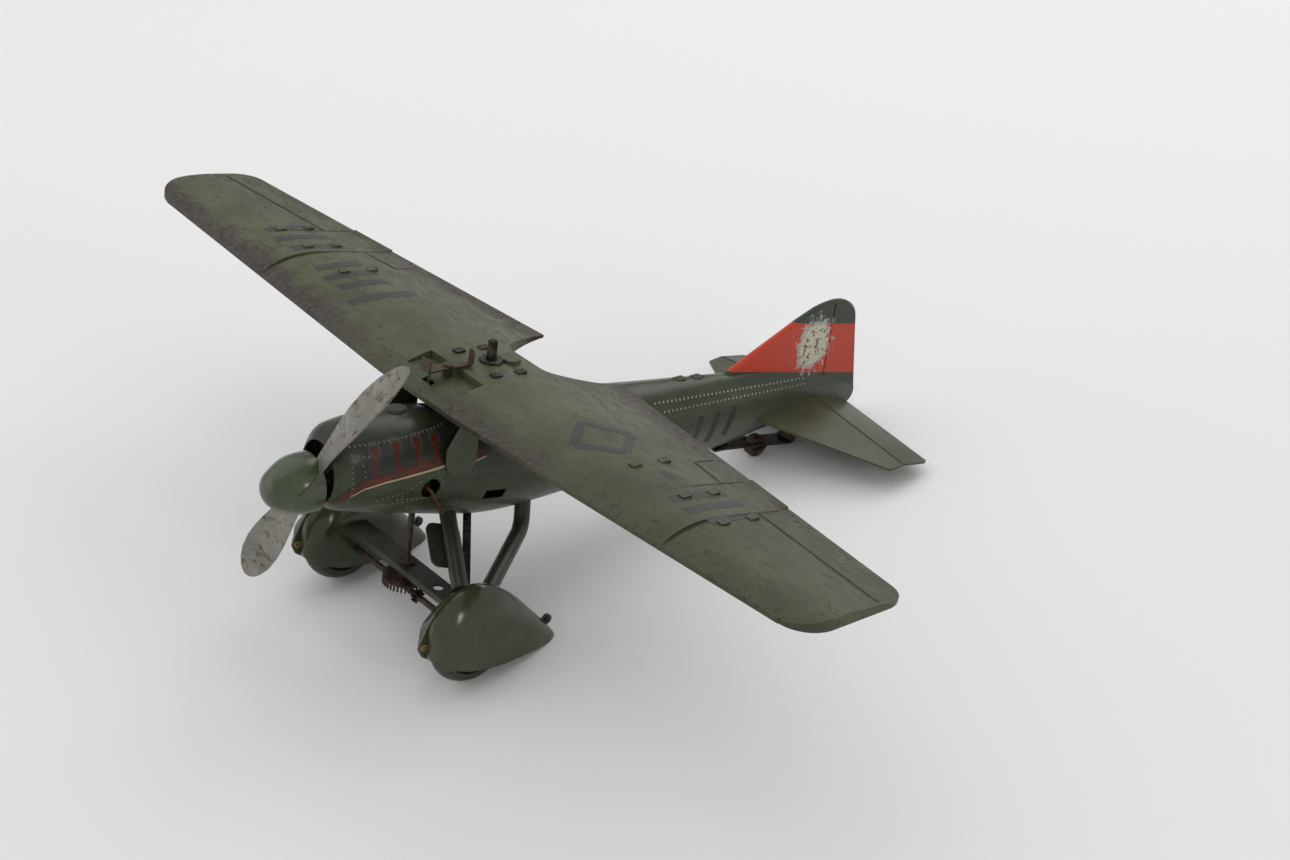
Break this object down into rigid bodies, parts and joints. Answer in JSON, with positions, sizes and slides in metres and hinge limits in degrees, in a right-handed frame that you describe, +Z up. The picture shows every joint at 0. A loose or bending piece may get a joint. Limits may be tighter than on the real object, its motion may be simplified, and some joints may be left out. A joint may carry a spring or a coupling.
{
  "type": "clockwork toy airplane",
  "caption": "Pressed-tin clockwork toy monoplane with spatted main wheels, sheet propeller, gear train driving axle and propeller, winding arbor, brake lever and tail wheel.",
  "frame": {"origin": "middle of the overall length and span, on the ground under the wheels", "axes": "+X to the airplane's left wing tip, +Y towards the tail, +Z up; parked nose-up on main wheels and tail wheel"},
  "size_m": [0.38, 0.2824, 0.1337],
  "materials": {
    "green_enamel": "worn satin enamel",
    "wing_enamel": "worn satin enamel with rust bloom",
    "pod_enamel": "glossy enamel, scuffed",
    "strut_enamel": "worn satin enamel",
    "bare_tin": "dull tinplate, rust speckled",
    "aged_steel": "brown tarnish",
    "bright_steel": "drawn steel",
    "red_wire": "dull red, worn",
    "brass": "dull"
  },
  "bodies": {
    "airframe": {"arbor_collar": "bright_steel", "brake_rivet": "aged_steel", "channel_bush": "bare_tin", "cross_channel": "strut_enamel", "front_strut_left": "strut_enamel", "front_strut_right": "strut_enamel", "fuselage_left_shell": "green_enamel", "fuselage_right_shell": "green_enamel", "mainspring": "aged_steel", "motor_bottom_plate": "aged_steel", "motor_pillars": "aged_steel", "motor_top_plate": "aged_steel", "nose_bulkhead": "bare_tin", "nose_cap": "green_enamel", "rear_stay": "aged_steel", "rear_strut_left": "strut_enamel", "rear_strut_right": "strut_enamel", "spat_eyelets": "brass", "spat_left_inner_half": "pod_enamel", "spat_left_outer_half": "pod_enamel", "spat_right_inner_half": "pod_enamel", "spat_right_outer_half": "pod_enamel", "spat_rivets": "aged_steel", "stabilizer_left": "green_enamel", "stabilizer_right": "green_enamel", "strut_cuff_left": "strut_enamel", "strut_cuff_right": "strut_enamel", "tail_rivet": "aged_steel", "tail_strip": "aged_steel", "tail_wheel_pin": "aged_steel", "wing_bracket_left": "green_enamel", "wing_bracket_right": "green_enamel", "wing_lower_skin": "wing_enamel", "wing_rib_left_inner": "aged_steel", "wing_rib_left_middle": "aged_steel", "wing_rib_left_outer": "aged_steel", "wing_rib_right_inner": "aged_steel", "wing_rib_right_middle": "aged_steel", "wing_rib_right_outer": "aged_steel", "wing_upper_skin": "wing_enamel"},
    "axle": {"wheel_axle": "aged_steel", "wheel_left": "pod_enamel", "wheel_right": "pod_enamel", "axle_pinion": "aged_steel"},
    "drive": {"drive_shaft": "aged_steel", "drive_pinion": "bright_steel", "contrate_wheel": "brass", "crown_gear": "aged_steel"},
    "second": {"second_arbor": "bright_steel", "second_pinion": "bright_steel", "second_wheel": "brass"},
    "winder": {"winding_arbor": "bright_steel", "great_wheel": "brass"},
    "airscrew": {"propeller": "bare_tin", "spinner": "pod_enamel", "propeller_shaft": "bright_steel", "propeller_pinion": "bright_steel"},
    "brake": {"brake_lever": "aged_steel"},
    "side_lever": {"side_wire_lever": "red_wire"},
    "tail_roller": {"tail_wheel": "aged_steel"}
  },
  "joints": [
    {"name": "wheel_spin", "type": "hinge", "parent": "airframe", "child": "axle", "pos_m": [0, -0.08768, 0.0166], "axis": [1, 0, 0], "continuous": true},
    {"name": "drive_spin", "type": "hinge", "parent": "airframe", "child": "drive", "pos_m": [0, -0.08001, 0.06013], "axis": [0, 0.1735, 0.9848], "continuous": true},
    {"name": "second_spin", "type": "hinge", "parent": "airframe", "child": "second", "pos_m": [0, -0.06252, 0.0672], "axis": [0, 0.1735, 0.9848], "continuous": true},
    {"name": "winding_spin", "type": "hinge", "parent": "airframe", "child": "winder", "pos_m": [0, -0.04847, 0.07488], "axis": [0, 0.1735, 0.9848], "continuous": true},
    {"name": "propeller_spin", "type": "hinge", "parent": "airframe", "child": "airscrew", "pos_m": [0, -0.12369, 0.07849], "axis": [0, 0.9848, -0.1735], "continuous": true},
    {"name": "brake_swing", "type": "hinge", "parent": "airframe", "child": "brake", "pos_m": [-0.0015, -0.06238, 0.09967], "axis": [0, 0.1735, 0.9848], "range_deg": [-14, 14]},
    {"name": "side_lever_swing", "type": "hinge", "parent": "airframe", "child": "side_lever", "pos_m": [0.01, -0.08667, 0.06841], "axis": [1, 0, 0], "range_deg": [-5, 5]},
    {"name": "tail_wheel_spin", "type": "hinge", "parent": "airframe", "child": "tail_roller", "pos_m": [0, 0.08585, 0.0045], "axis": [1, 0, 0], "continuous": true}
  ],
  "couplings": [
    {"joint": "drive_spin", "follows": "wheel_spin", "ratio": -0.25},
    {"joint": "second_spin", "follows": "wheel_spin", "ratio": 0.15},
    {"joint": "winding_spin", "follows": "wheel_spin", "ratio": -0.058333},
    {"joint": "propeller_spin", "follows": "wheel_spin", "ratio": 1}
  ]
}
